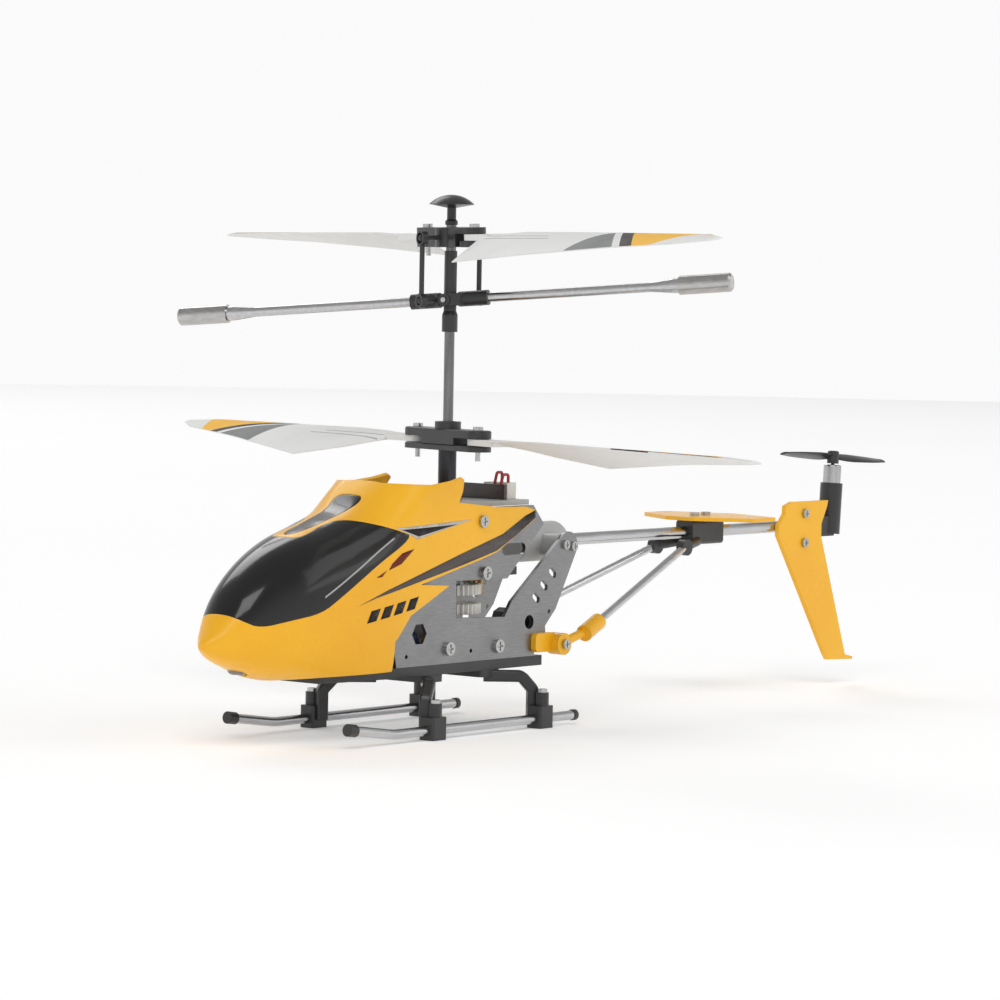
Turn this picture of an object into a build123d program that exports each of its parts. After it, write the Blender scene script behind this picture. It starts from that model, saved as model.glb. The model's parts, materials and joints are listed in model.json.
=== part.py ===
"""Toy coaxial helicopter: metal side plates, twin rotors with a flybar, thin tail boom, skids.

Millimetres, +Z up, +X towards the nose, +Y to port. The origin is the centre of the footprint
on the ground. Every plane below starts at the rotor shaft, so sizes read from the shaft's axis.
"""
import os
from math import asin, copysign, cos, degrees, pi, radians, sin, sqrt

from build123d import *

os.makedirs("parts", exist_ok=True)

# ---- driving dimensions -------------------------------------------------------------------
SHAFT_X = 39.1            # rotor shaft ahead of the origin
ROTOR_R = 95.0            # main blade tip radius
TAIL_ROTOR_R = 15.0
UPPER_ANGLE = 69.5        # rest direction of the upper blades, from +X towards +Y
LOWER_ANGLE = 75.0
FLYBAR_ANGLE = 110.5
FLYBAR_TILT = 4.5         # the flybar rests tipped up at its port end
FLYBAR_R = 57.5
TAIL_ROTOR_ANGLE = 168.0

INNER_SHAFT_R = 1.0
OUTER_SHAFT_R = 1.8
RUNNING_GAP = 0.07        # radial clearance of a running fit
SCREW_R = 0.5
HEAD_R = 1.0
HEAD_T = 0.7

PLATE_Y = 8.0             # middle of each side plate
PLATE_T = 0.8
PLATE_IN = PLATE_Y - PLATE_T / 2
PLATE_OUT = PLATE_Y + PLATE_T / 2
TRAY_BOTTOM = 11.4
TRAY_TOP = 13.4
SPINE_TOP = 17.4

GEAR_MODULE = 0.38
GEAR_TEETH = 36
PINION_TEETH = 9
GEAR_T = 2.0
INNER_GEAR_Z = 22.4
OUTER_GEAR_Z = 26.2
MOTOR_X = GEAR_MODULE * (GEAR_TEETH + PINION_TEETH) / 2
MOTOR_R = 3.5
MOTOR_SHAFT_R = 0.4
DECK_Z = 29.8             # underside of the motor deck
DECK_T = 1.6
TOP_DECK_Z = 43.6
TOP_DECK_T = 1.0

LOWER_HUB_Z = 56.4        # middle of the lower blade roots
FLYBAR_Z = 84.0
GRIP_Z = 96.3
GRIP_T = 3.8              # top plate to bottom plate of a blade grip
LINK_R = 6.5              # link ball centres from the shaft
LINK_ANGLE = UPPER_ANGLE + 90
BALL_R = 0.8
UPPER_SCREW_R = 9.2       # blade screws from the shaft
LOWER_SCREW_R = 10.2
ROOT_T = 1.2              # blade root tab

SKID_Y = 15.2
SKID_Z = 1.8
SKID_R = 0.95
FRONT_CLAMP_X = 21.3
REAR_CLAMP_X = -11.7
SKID_REAR_X = -22.7

BOOM_Z = 35.4
BOOM_R = 1.25
BOOM_START_X = -24.0
BOOM_END_X = -121.5
FIN_T = 1.0
STAB_Z = 38.0
BRACE_FRONT = (-32.0, 11.2, 18.0)
BRACE_REAR = (-74.0, 3.8, 32.6)
BRACE_R = 0.8
TAIL_MOTOR_X = -132.7

WALL = 0.9                # canopy shell

# flybar and blade grip rest together: the links carry the flybar's tilt over to the grip
LINK_SHARE = cos(radians(LINK_ANGLE - FLYBAR_ANGLE))
GRIP_ROLL = degrees(asin(LINK_SHARE * sin(radians(FLYBAR_TILT))))
LINK_RISE = LINK_R * sin(radians(GRIP_ROLL))


# ---- planes -------------------------------------------------------------------------------
def level(z):
    """Plan view at height z: local x forward, local y to port."""
    return Plane(origin=(SHAFT_X, 0, z))


def side(y):
    """Side view at y: local x forward, local y up, normal to starboard."""
    return Plane(origin=(SHAFT_X, y, 0), x_dir=(1, 0, 0), z_dir=(0, -1, 0))


def cross(x):
    """Cross-section x ahead of the shaft: local x to port, local y up, normal forward."""
    return Plane(origin=(SHAFT_X + x, 0, 0), x_dir=(0, 1, 0), z_dir=(1, 0, 0))


def spoke(angle, z, tilt=0.0, roll=0.0):
    """Plane at height z with its local x along a spoke, tipped up by tilt, rolled about it."""
    a, t, r = radians(angle), radians(tilt), radians(roll)
    along = Vector(cos(a) * cos(t), sin(a) * cos(t), sin(t))
    up = Vector(-cos(a) * sin(t), -sin(a) * sin(t), cos(t))
    right = along.cross(up)
    return Plane(origin=(SHAFT_X, 0, z), x_dir=along, z_dir=up * cos(r) + right * sin(r))


def place(x, y, z):
    """A point measured from the rotor shaft at ground level."""
    return Vector(SHAFT_X + x, y, z)


def towards(start, end):
    """Plane at start whose normal points to end."""
    return Plane(origin=start, z_dir=end - start)


# the flybar and the upper grip as they rest, with the axes that they tip about
FLYBAR = spoke(FLYBAR_ANGLE, FLYBAR_Z, tilt=FLYBAR_TILT)
FLYBAR_SHAFT = Plane(origin=FLYBAR.origin, z_dir=FLYBAR.x_dir)
TEETER = Plane(origin=FLYBAR.origin, z_dir=FLYBAR.y_dir)
GRIP = spoke(UPPER_ANGLE, GRIP_Z, roll=GRIP_ROLL)
GRIP_AXIS = Plane(origin=GRIP.origin, z_dir=GRIP.x_dir)


def keep(name, solid):
    """Label a finished piece and write it out."""
    solid.label = name
    export_step(solid, f"parts/{name}.step")


def pins(plane, spots, radius, length, head_r=0.0, head_t=0.0):
    """Screws along the plane's normal: shanks below it, heads above it when they have any."""
    with BuildPart() as group:
        with BuildSketch(plane):
            with Locations(*spots):
                Circle(radius)
        extrude(amount=-length)
        if head_r:
            with BuildSketch(plane):
                with Locations(*spots):
                    Circle(head_r)
            extrude(amount=head_t)
            with BuildSketch(plane.offset(head_t)):
                with Locations(*spots):
                    Rectangle(1.3 * head_r, 0.28 * head_r)
                    Rectangle(0.28 * head_r, 1.3 * head_r)
            extrude(amount=-0.5 * head_t, mode=Mode.SUBTRACT)
    return group.part


# ---- side plates --------------------------------------------------------------------------
PLATE_SCREWS = [(9.0, 16.3), (-6.3, 16.0)]
BOOM_SCREWS = [(-27.4, 35.2), (-30.0, 34.8)]
DECK_SCREW = (-2.0, 30.6)
SOCKET_X, SOCKET_Z = -16.3, 20.2


def side_plate(y):
    """Cut sheet: bottom bar, front post with a swept arm, and a rear upright to the boom."""
    with BuildPart() as plate:
        with BuildSketch(side(y).offset(-PLATE_T / 2)):
            with BuildLine():
                edge = Polyline(
                    (-26.6, 37.0), (-10.6, 24.6), (-8.4, 21.6), (6.6, 22.2), (6.8, 29.4),
                    (-9.1, 29.2), (-20.4, 39.7), (-17.0, 43.5), (9.0, 43.5), (14.5, 31.0),
                    (24.8, 22.0), (25.4, 18.0), (24.4, 13.4), (-17.5, 13.4),
                    (-21.6, 17.2), (-21.4, 19.2), (-24.7, 22.4), (-31.4, 34.2))
                ThreePointArc(edge @ 1, (-30.6, 37.0), edge @ 0)
            make_face()
            with Locations((-23.6, 29.7), (-20.9, 27.3), (-18.4, 24.9)):
                SlotOverall(2.6, 1.3, rotation=38, mode=Mode.SUBTRACT)
            with Locations((-11.0, 35.0)):
                SlotOverall(7.4, 2.3, mode=Mode.SUBTRACT)
            with Locations((SOCKET_X, SOCKET_Z)):
                Circle(1.4, mode=Mode.SUBTRACT)
            with Locations((17.7, 19.6)):
                RegularPolygon(2.2, 6, mode=Mode.SUBTRACT)
            with Locations(*PLATE_SCREWS, *BOOM_SCREWS, DECK_SCREW):
                Circle(SCREW_R, mode=Mode.SUBTRACT)
            with Locations((-22.6, 22.0), (1.9, 15.5), (21.5, 15.4)):
                Circle(0.4, mode=Mode.SUBTRACT)
        extrude(amount=PLATE_T)
    return plate.part


keep("side_plate_port", side_plate(PLATE_Y))
keep("side_plate_starboard", side_plate(-PLATE_Y))

# ---- base tray, decks and bearings ---------------------------------------------------------
SWITCH_X = -14.5
with BuildPart() as base_tray:
    with BuildSketch(level(TRAY_BOTTOM)):
        Polygon((-20.5, -8.4), (26.0, -8.4), (44.0, -6.0), (44.0, 6.0), (26.0, 8.4),
                (-20.5, 8.4), align=None)
    extrude(amount=TRAY_TOP - TRAY_BOTTOM)
    # spine between the plates, for their lower screws, bored for the shaft's foot bush
    with BuildSketch(level(TRAY_TOP)):
        with Locations((1.3, 0)):
            Rectangle(20.0, 2 * PLATE_IN)
    extrude(amount=SPINE_TOP - TRAY_TOP)
    with BuildSketch(level(SPINE_TOP)):
        Circle(2.0)
    extrude(amount=-5.0, mode=Mode.SUBTRACT)
    with BuildSketch(side(PLATE_OUT)):
        with Locations(*PLATE_SCREWS):
            Circle(SCREW_R)
    extrude(amount=2 * PLATE_OUT, mode=Mode.SUBTRACT)
    with BuildSketch(level(TRAY_BOTTOM)):
        with Locations((SWITCH_X, 0)):
            Rectangle(8.0, 4.4)
    extrude(amount=TRAY_TOP - TRAY_BOTTOM, mode=Mode.SUBTRACT)
    # battery wall at the front
    with BuildSketch(level(TRAY_TOP)):
        with Locations((43.5, 0)):
            Rectangle(1.0, 10.0)
    extrude(amount=3.0)
keep("base_tray", base_tray.part)

DECK_BUSH_R = 2.9


def deck(z, thickness, back, front, motor_hole_r):
    """Plate between the side plates with holes for the shaft's bush and both motors."""
    with BuildPart() as plate:
        with BuildSketch(level(z)):
            with Locations(((front + back) / 2, 0)):
                Rectangle(front - back, 2 * PLATE_IN)
            Circle(DECK_BUSH_R, mode=Mode.SUBTRACT)
            if motor_hole_r:
                with Locations((MOTOR_X, 0), (-MOTOR_X, 0)):
                    Circle(motor_hole_r, mode=Mode.SUBTRACT)
        extrude(amount=thickness)
    return plate


with BuildPart() as motor_deck:
    add(deck(DECK_Z, DECK_T, -13.0, 13.0, 1.2).part)
    with BuildSketch(side(PLATE_IN)):
        with Locations(DECK_SCREW):
            Circle(SCREW_R)
    extrude(amount=2 * PLATE_IN, mode=Mode.SUBTRACT)
keep("motor_deck", motor_deck.part)

top_deck = deck(TOP_DECK_Z, TOP_DECK_T, -16.5, 8.5, 0.0)
keep("top_deck", top_deck.part)

with BuildPart() as shaft_bushes:
    # foot bush in the tray, closed below, with a flange
    with BuildSketch(level(SPINE_TOP - 5.0)):
        Circle(2.0)
    extrude(amount=5.0)
    with BuildSketch(level(SPINE_TOP)):
        Circle(2.4)
    extrude(amount=0.5)
    with BuildSketch(level(SPINE_TOP - 4.6)):
        Circle(INNER_SHAFT_R + RUNNING_GAP)
    extrude(amount=5.1, mode=Mode.SUBTRACT)
    for z, height in ((DECK_Z, DECK_T), (TOP_DECK_Z, TOP_DECK_T + 1.0)):
        with BuildSketch(level(z)):
            Circle(DECK_BUSH_R)
            Circle(OUTER_SHAFT_R + RUNNING_GAP, mode=Mode.SUBTRACT)
        extrude(amount=height)
keep("shaft_bushes", shaft_bushes.part)


# ---- motors, battery and electrics ---------------------------------------------------------
def main_motor(x):
    """Upright motor can standing on the deck, with a plastic end bell and two tabs."""
    with BuildPart() as motor:
        with BuildSketch(level(DECK_Z + DECK_T)):
            with Locations((x, 0)):
                Circle(MOTOR_R)
        extrude(amount=11.0)
        fillet(motor.edges().filter_by(GeomType.CIRCLE), 0.4)
        with BuildSketch(level(DECK_Z + DECK_T + 11.0)):
            with Locations((x, 0)):
                Circle(1.6)
        extrude(amount=0.8)
        with BuildSketch(level(DECK_Z + DECK_T)):
            with Locations((x, 0)):
                Circle(MOTOR_SHAFT_R + RUNNING_GAP)
        extrude(amount=8.0, mode=Mode.SUBTRACT)
    return motor.part


with BuildPart() as main_motors:
    add(main_motor(MOTOR_X))
    add(main_motor(-MOTOR_X))
keep("main_motors", main_motors.part)

with BuildPart() as battery:
    with BuildSketch(level(TRAY_TOP)):
        with Locations((28.0, 0)):
            RectangleRounded(27.0, 13.0, 1.5)
    extrude(amount=6.4)
    fillet(battery.edges().group_by(Axis.Z)[-1], 1.2)
keep("battery", battery.part)

BOARD_Z = TOP_DECK_Z + TOP_DECK_T
with BuildPart() as receiver_board:
    with BuildSketch(cross(-10.6)):
        with Locations((0, BOARD_Z + 1.5)):
            Rectangle(12.0, 3.0)
    extrude(amount=-0.8)
    # surface-mounted blocks on the rear face
    with BuildSketch(cross(-11.4)):
        with Locations((-3.6, BOARD_Z + 1.4), (0.0, BOARD_Z + 1.7)):
            Rectangle(2.6, 1.6)
    extrude(amount=-0.7)
keep("receiver_board", receiver_board.part)

LEAD_Y = (1.9, 3.5)
with BuildPart() as motor_connector:
    with BuildSketch(level(BOARD_Z)):
        with Locations((-14.9, 1.4)):
            Rectangle(2.8, 6.0)
    extrude(amount=3.2)
    with BuildSketch(level(BOARD_Z + 3.2)):
        with Locations(*[(-14.9, y) for y in LEAD_Y]):
            Rectangle(1.2, 1.0)
    extrude(amount=-1.4, mode=Mode.SUBTRACT)
keep("motor_connector", motor_connector.part)

# leads from the board over and down into the connector
with BuildPart() as board_leads:
    for y, arch in zip(LEAD_Y, (5.2, 4.8)):
        route = [place(-11.4, y, BOARD_Z + 2.4), place(-12.4, y, BOARD_Z + 2.4),
                 place(-13.3, y, BOARD_Z + arch), place(-14.9, y, BOARD_Z + arch),
                 place(-14.9, y, BOARD_Z + 1.8)]
        with BuildLine() as spine:
            FilletPolyline(*route, radius=0.45)
        with BuildSketch(Plane(origin=route[0], z_dir=route[1] - route[0])):
            Circle(0.3)
        sweep(path=spine.line)
keep("board_leads", board_leads.part)

with BuildPart() as charge_socket:
    with BuildSketch(side(PLATE_IN)):
        with Locations((SOCKET_X, SOCKET_Z)):
            RegularPolygon(2.5, 8)
    extrude(amount=7.0)
    with BuildSketch(side(PLATE_IN)):
        with Locations((SOCKET_X, SOCKET_Z)):
            Circle(1.25)
    extrude(amount=5.0, mode=Mode.SUBTRACT)
keep("charge_socket", charge_socket.part)

SWITCH_TRAVEL = 1.6
with BuildPart() as switch_body:
    with BuildSketch(level(TRAY_BOTTOM)):
        with Locations((SWITCH_X, 0)):
            Rectangle(8.0, 4.4)
    extrude(amount=3.6)
    with BuildSketch(level(TRAY_BOTTOM)):
        with Locations((SWITCH_X, 0)):
            Rectangle(4.4, 2.4)
    extrude(amount=1.2, mode=Mode.SUBTRACT)
keep("switch_body", switch_body.part)

with BuildPart() as switch_knob:
    with BuildSketch(level(TRAY_BOTTOM + 1.0)):
        with Locations((SWITCH_X - SWITCH_TRAVEL / 2, 0)):
            Rectangle(1.8, 1.8)
    extrude(amount=-2.2)
keep("switch_knob", switch_knob.part)

# ---- gears and shafts ----------------------------------------------------------------------
GEAR_ADD, GEAR_DED = 0.30, 0.50
TIP_SHARE, PITCH_SHARE, ROOT_SHARE = 0.18, 0.38, 0.52


def gear_outline(teeth, phase, x=0.0):
    """Points of a spur gear's tooth flanks, straight from root to pitch line to tip."""
    pitch_r = GEAR_MODULE * teeth / 2
    step = 360 / teeth
    flank = [(pitch_r - GEAR_DED, ROOT_SHARE), (pitch_r, PITCH_SHARE),
             (pitch_r + GEAR_ADD, TIP_SHARE)]
    corners = [(r, -share / 2) for r, share in flank]
    corners += [(r, share / 2) for r, share in reversed(flank)]
    points = []
    for tooth in range(teeth):
        for r, share in corners:
            a = radians(phase + step * (tooth + share))
            points.append((x + r * cos(a), r * sin(a)))
    return points


def spur_gear(teeth, z, thickness, phase, x, bore_r, hub_r=0.0, hub_h=0.0):
    """Spur gear standing on level z, with an optional hub above it."""
    with BuildPart() as gear:
        with BuildSketch(level(z)):
            Polygon(*gear_outline(teeth, phase, x), align=None)
        extrude(amount=thickness)
        if hub_r:
            with BuildSketch(level(z + thickness)):
                with Locations((x, 0)):
                    Circle(hub_r)
            extrude(amount=hub_h)
            with BuildSketch(level(z + thickness)):
                with PolarLocations(4.6, 4, start_angle=45):
                    Circle(1.2)
            extrude(amount=-thickness, mode=Mode.SUBTRACT)
        with BuildSketch(level(z)):
            with Locations((x, 0)):
                Circle(bore_r)
        extrude(amount=thickness + hub_h, mode=Mode.SUBTRACT)
    return gear.part


PINION_PHASE = 180 / PINION_TEETH
keep("inner_gear", spur_gear(GEAR_TEETH, INNER_GEAR_Z, GEAR_T, 0, 0, INNER_SHAFT_R, 2.4, 0.6))
keep("outer_gear", spur_gear(GEAR_TEETH, OUTER_GEAR_Z, GEAR_T, 0, 0, OUTER_SHAFT_R, 3.0, 1.0))


def pinion(x, z):
    """Pinion on its motor's shaft; the shaft runs up into the can."""
    turn = 180 if x > 0 else 0
    with BuildPart() as gear:
        with BuildSketch(level(z - 0.3)):
            Polygon(*gear_outline(PINION_TEETH, turn + PINION_PHASE, x), align=None)
        extrude(amount=GEAR_T + 0.6)
        with BuildSketch(level(z - 0.3)):
            with Locations((x, 0)):
                Circle(MOTOR_SHAFT_R)
        extrude(amount=DECK_Z + DECK_T + 7.0 - z)
    return gear.part


keep("front_pinion", pinion(MOTOR_X, INNER_GEAR_Z))
keep("rear_pinion", pinion(-MOTOR_X, OUTER_GEAR_Z))

SHAFT_FOOT = SPINE_TOP - 4.3
SHAFT_TOP = GRIP_Z + 2.4
with BuildPart() as inner_shaft:
    with BuildSketch(level(SHAFT_FOOT)):
        Circle(INNER_SHAFT_R)
    extrude(amount=SHAFT_TOP - SHAFT_FOOT)
    with BuildSketch(level(SHAFT_TOP)):
        Circle(0.5)
    extrude(amount=2.2)
    # cross-holes for the flybar's and the grip's hinge pins
    with BuildSketch(TEETER):
        Circle(SCREW_R)
    extrude(amount=2.0, both=True, mode=Mode.SUBTRACT)
    with BuildSketch(GRIP_AXIS):
        Circle(SCREW_R)
    extrude(amount=2.0, both=True, mode=Mode.SUBTRACT)
keep("inner_shaft", inner_shaft.part)

with BuildPart() as thrust_collar:
    with BuildSketch(level(SPINE_TOP + 0.6)):
        Circle(2.0)
        Circle(INNER_SHAFT_R, mode=Mode.SUBTRACT)
    extrude(amount=2.0)
keep("thrust_collar", thrust_collar.part)

OUTER_SHAFT_TOP = 60.0
with BuildPart() as outer_shaft:
    with BuildSketch(level(OUTER_GEAR_Z - 0.6)):
        Circle(OUTER_SHAFT_R)
        Circle(INNER_SHAFT_R + RUNNING_GAP, mode=Mode.SUBTRACT)
    extrude(amount=OUTER_SHAFT_TOP - OUTER_GEAR_Z + 0.6)
keep("outer_shaft", outer_shaft.part)


# ---- lower rotor ---------------------------------------------------------------------------
def lower_half(name, low, high, sleeve):
    """One plate of the lower blade grip; the upper one carries the block and the sleeve."""
    plane = spoke(LOWER_ANGLE, 0)
    with BuildPart() as half:
        with BuildSketch(plane.offset(low)):
            SlotOverall(2 * (LOWER_SCREW_R + 2.6), 5.2)
            with Locations((LOWER_SCREW_R, 0), (-LOWER_SCREW_R, 0)):
                Circle(SCREW_R, mode=Mode.SUBTRACT)
            Circle(OUTER_SHAFT_R, mode=Mode.SUBTRACT)
        extrude(amount=high - low)
        fillet(half.edges().group_by(Axis.Z)[-1].filter_by(GeomType.LINE), 0.4)
        if sleeve:
            with BuildSketch(plane.offset(LOWER_HUB_Z - ROOT_T / 2 - 0.1)):
                Rectangle(11.0, 5.2)
                Circle(OUTER_SHAFT_R, mode=Mode.SUBTRACT)
            extrude(amount=ROOT_T + 0.2)
            with BuildSketch(plane.offset(high)):
                Circle(2.6)
                Circle(OUTER_SHAFT_R, mode=Mode.SUBTRACT)
            extrude(amount=1.4)
    keep(name, half.part)


lower_half("lower_hub", LOWER_HUB_Z + 0.7, LOWER_HUB_Z + 2.3, True)
lower_half("lower_hub_cover", LOWER_HUB_Z - 1.9, LOWER_HUB_Z - 0.7, False)


def blade_screws(angle, z, top, length, radius_at, roll=0.0):
    """The two blade screws of a rotor, heads up, tips standing out below."""
    plane = spoke(angle, z, roll=roll).offset(top)
    return pins(plane, [(radius_at, 0), (-radius_at, 0)], SCREW_R, length, HEAD_R, HEAD_T)


keep("lower_blade_screws", blade_screws(LOWER_ANGLE, LOWER_HUB_Z, 2.3, 6.0, LOWER_SCREW_R))


# ---- main blades ---------------------------------------------------------------------------
# out along the span, leading edge, trailing edge, pitch, thickness
UPPER_SECTIONS = [(16.5, 2.4, 4.0, 10.0, 1.0), (24.0, 3.0, 14.5, 17.0, 1.0),
                  (45.0, 3.4, 11.2, 14.5, 0.9), (70.0, 3.6, 7.6, 11.0, 0.8),
                  (87.5, 3.6, 5.0, 9.0, 0.7)]
LOWER_SECTIONS = [(17.5, 2.6, 3.2, 10.0, 1.0), (25.0, 3.0, 8.5, 16.0, 1.0),
                  (35.0, 3.4, 14.0, 17.0, 1.0), (65.0, 3.6, 8.8, 12.0, 0.8),
                  (87.5, 3.6, 5.0, 9.0, 0.7)]
EDGE_T = 0.2


def main_blade(angle, z, screw_r, sections, lead, root_roll=0.0):
    """Twisted, cambered blade on a flat root tab. lead is +1 where the leading edge faces
    increasing angle. The tab's hole turns on its screw."""
    flat = spoke(angle, z, roll=root_roll)
    out, across_dir, up = flat.x_dir, flat.y_dir * lead, flat.z_dir
    with BuildPart() as blade:
        stations = sections + [(ROTOR_R, 0.9, 1.6, 8.0, 0.5)]
        for s, front, back, pitch, thick in stations:
            p = radians(pitch)
            chord_dir = across_dir * cos(p) + up * sin(p)
            plane = Plane(origin=flat.origin + out * s, x_dir=chord_dir, z_dir=out)
            turned = 1 if plane.y_dir.dot(up) > 0 else -1
            chord = front + back
            mid = (front - back) / 2
            rise = turned * 0.035 * chord
            half = EDGE_T / 2
            with BuildSketch(plane):
                with BuildLine():
                    top = ThreePointArc((front, half), (mid, rise + thick / 2), (-back, half))
                    low = ThreePointArc((-back, -half), (mid, rise - thick / 2), (front, -half))
                    Line(top @ 1, low @ 0)
                    Line(low @ 1, top @ 0)
                make_face()
        loft(ruled=True)
        with BuildSketch(flat.offset(-ROOT_T / 2)):
            with BuildLine():
                tip = sections[0][0] + 1.0
                rear, fore = -2.6 * lead, 2.3 * lead
                Polyline((screw_r, rear * 0.8), (tip, rear), (tip, fore), (screw_r, fore * 0.9))
                ThreePointArc((screw_r, fore * 0.9), (screw_r - 2.1, 0), (screw_r, rear * 0.8))
            make_face()
        extrude(amount=ROOT_T)
        with BuildSketch(flat.offset(-ROOT_T / 2)):
            with Locations((screw_r, 0)):
                Circle(SCREW_R + RUNNING_GAP)
        extrude(amount=ROOT_T, mode=Mode.SUBTRACT)
    return blade.part


for name, turn in (("a", 0), ("b", 180)):
    roll = GRIP_ROLL if turn == 0 else -GRIP_ROLL
    keep(f"upper_blade_{name}",
         main_blade(UPPER_ANGLE + turn, GRIP_Z, UPPER_SCREW_R, UPPER_SECTIONS, 1, roll))
    keep(f"lower_blade_{name}",
         main_blade(LOWER_ANGLE + turn, LOWER_HUB_Z, LOWER_SCREW_R, LOWER_SECTIONS, -1))

# ---- upper blade grip ----------------------------------------------------------------------
GRIP_HOLE_R = 1.75
ARM_START = 2.6


def ball_arms(origin, directions):
    """Arms from near the shaft, each ending in a link ball."""
    with BuildPart() as arms:
        for direction in directions:
            with BuildSketch(Plane(origin=origin + direction * ARM_START, z_dir=direction)):
                Circle(0.45)
            extrude(amount=LINK_R - ARM_START)
            with Locations(origin + direction * LINK_R):
                Sphere(BALL_R)
    return arms.part


with BuildPart() as upper_grip:
    with BuildSketch(GRIP.offset(ROOT_T / 2 + 0.1)):
        SlotOverall(2 * (UPPER_SCREW_R + 2.2), 4.4)
        Circle(3.2)
        with Locations((UPPER_SCREW_R, 0), (-UPPER_SCREW_R, 0)):
            Circle(SCREW_R, mode=Mode.SUBTRACT)
    extrude(amount=GRIP_T / 2 - ROOT_T / 2 - 0.1)
    with BuildSketch(GRIP.offset(-GRIP_T / 2)):
        Rectangle(10.6, 4.4)
        Circle(3.2)
    extrude(amount=GRIP_T / 2 + ROOT_T / 2 + 0.1)
    add(ball_arms(GRIP.origin, [GRIP.y_dir, GRIP.y_dir * -1]))
    with BuildSketch(GRIP.offset(-GRIP_T / 2)):
        Circle(GRIP_HOLE_R)
    extrude(amount=GRIP_T, mode=Mode.SUBTRACT)
    with BuildSketch(GRIP_AXIS):
        Circle(SCREW_R + RUNNING_GAP)
    extrude(amount=4.6, both=True, mode=Mode.SUBTRACT)
keep("upper_grip", upper_grip.part)

with BuildPart() as upper_grip_covers:
    with BuildSketch(GRIP.offset(-GRIP_T / 2)):
        with Locations((UPPER_SCREW_R - 0.85, 0), (0.85 - UPPER_SCREW_R, 0)):
            SlotOverall(6.1, 4.4)
        with Locations((UPPER_SCREW_R, 0), (-UPPER_SCREW_R, 0)):
            Circle(SCREW_R, mode=Mode.SUBTRACT)
    extrude(amount=GRIP_T / 2 - ROOT_T / 2 - 0.1)
keep("upper_grip_covers", upper_grip_covers.part)

keep("upper_blade_screws",
     blade_screws(UPPER_ANGLE, GRIP_Z, GRIP_T / 2, 5.6, UPPER_SCREW_R, roll=GRIP_ROLL))

with BuildPart() as hinge_pins:
    for axis_plane, reach in ((GRIP_AXIS, 4.3), (TEETER, 4.4)):
        with BuildSketch(axis_plane):
            Circle(SCREW_R)
        extrude(amount=reach, both=True)
keep("hinge_pins", hinge_pins.part)

# ---- head post, flybar and links -----------------------------------------------------------
POST_TOP = GRIP_Z - 2.7
HUB_T = 2.4
with BuildPart() as head_post:
    with BuildSketch(side(0)):
        with BuildLine():
            Polyline((INNER_SHAFT_R, 77.7), (1.55, 77.7), (1.55, 81.0), (1.25, 81.8),
                     (1.25, POST_TOP), (INNER_SHAFT_R, POST_TOP), close=True)
        make_face()
    revolve(axis=Axis((SHAFT_X, 0, 0), (0, 0, 1)))
    with BuildSketch(TEETER):
        Circle(SCREW_R)
    extrude(amount=3.0, both=True, mode=Mode.SUBTRACT)
keep("head_post", head_post.part)

CAP_TOP = 104.6
CAP_SPHERE_R = (4.5 ** 2 + 1.9 ** 2) / (2 * 1.9)
CAP_MID_R = 2.4
CAP_MID_Z = CAP_TOP - CAP_SPHERE_R + sqrt(CAP_SPHERE_R ** 2 - CAP_MID_R ** 2)
with BuildPart() as top_cap:
    with BuildSketch(side(0)):
        with BuildLine():
            foot = Polyline((0.5, SHAFT_TOP), (1.25, SHAFT_TOP), (1.25, 99.4), (0.9, 99.8),
                            (0.9, 102.0), (4.5, 102.7))
            dome = ThreePointArc((4.5, 102.7), (CAP_MID_R, CAP_MID_Z), (0, CAP_TOP))
            Polyline((0, CAP_TOP), (0, SHAFT_TOP + 2.2), (0.5, SHAFT_TOP + 2.2), foot @ 0)
        make_face()
    revolve(axis=Axis((SHAFT_X, 0, 0), (0, 0, 1)))
keep("top_cap", top_cap.part)

LINK_DIR = Vector(cos(radians(LINK_ANGLE)), sin(radians(LINK_ANGLE)), 0)
LOWER_BALLS = [FLYBAR.origin + LINK_DIR * LINK_R * k + Vector(0, 0, LINK_RISE * k)
               for k in (1, -1)]
UPPER_BALLS = [GRIP.origin + GRIP.y_dir * LINK_R * k for k in (1, -1)]
ROD_SOCKET_END = 8.0
ROD_R = 0.95
WEIGHT_R = 1.85
WEIGHT_LEN = 10.5

with BuildPart() as flybar_hub:
    with BuildSketch(FLYBAR.offset(-HUB_T / 2)):
        Circle(3.3)
    extrude(amount=HUB_T)
    with BuildSketch(FLYBAR_SHAFT):
        Circle(1.5)
    extrude(amount=ROD_SOCKET_END, both=True)
    add(ball_arms(FLYBAR.origin, [(ball - FLYBAR.origin).normalized() for ball in LOWER_BALLS]))
    with BuildSketch(TEETER):
        Circle(1.2)
    extrude(amount=4.0, both=True)
    with BuildSketch(FLYBAR.offset(-HUB_T)):
        Circle(2.05)
    extrude(amount=2 * HUB_T, mode=Mode.SUBTRACT)
    with BuildSketch(TEETER):
        Circle(SCREW_R + RUNNING_GAP)
    extrude(amount=4.0, both=True, mode=Mode.SUBTRACT)
    with BuildSketch(FLYBAR_SHAFT.offset(-ROD_SOCKET_END)):
        Circle(ROD_R)
    extrude(amount=4.0, mode=Mode.SUBTRACT)
    with BuildSketch(FLYBAR_SHAFT.offset(ROD_SOCKET_END)):
        Circle(ROD_R)
    extrude(amount=-4.0, mode=Mode.SUBTRACT)
keep("flybar_hub", flybar_hub.part)


def flybar_side(turn):
    """Plane whose local x runs out along one half of the flybar."""
    sign = 1 if turn == 0 else -1
    return Plane(origin=FLYBAR.origin, x_dir=FLYBAR.x_dir * sign, z_dir=FLYBAR.y_dir * sign)


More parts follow.
